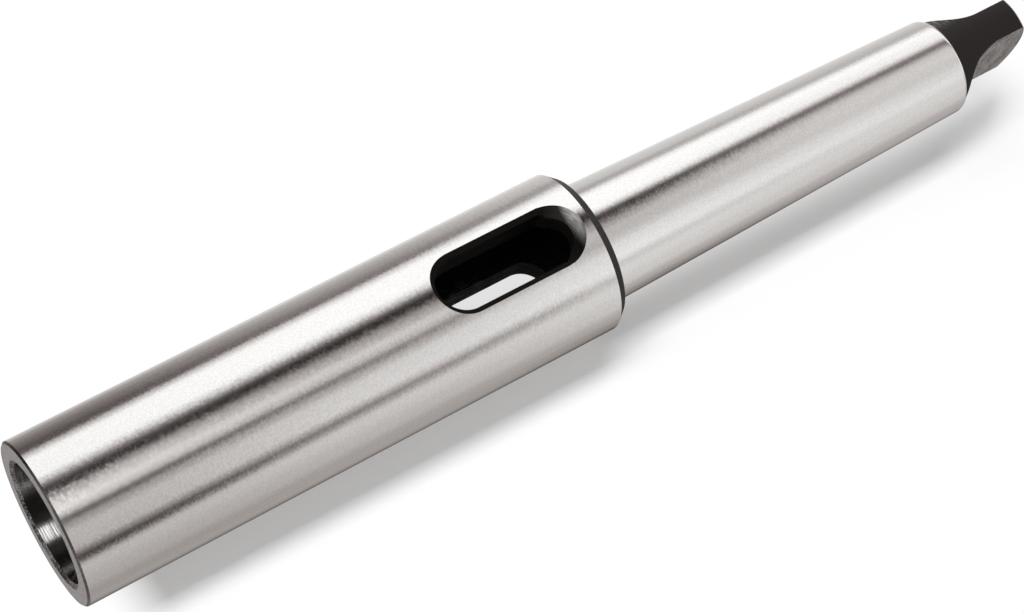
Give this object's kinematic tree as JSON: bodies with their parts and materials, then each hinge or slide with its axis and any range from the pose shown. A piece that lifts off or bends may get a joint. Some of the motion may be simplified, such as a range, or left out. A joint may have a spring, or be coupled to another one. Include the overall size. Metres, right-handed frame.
{
  "type": "morse taper sleeve",
  "caption": "Extension sleeve for taper shank tools: a tapered socket with a drift slot, a tapered shank of the same size and a flat tang.",
  "frame": {"origin": "centre of the mouth face, on the axis", "axes": "+Z along the axis from the mouth to the tang, Y through the drift slot, and X square to the two tang flats"},
  "size_m": [0.0324, 0.0324, 0.218],
  "materials": {
    "steel": "bright cylindrically ground steel, with as-turned black oxide left in the shoulder chamfer, the slot, the neck and the sides of the tang"
  },
  "bodies": {
    "root": {"taper_sleeve": "steel"}
  },
  "joints": []
}
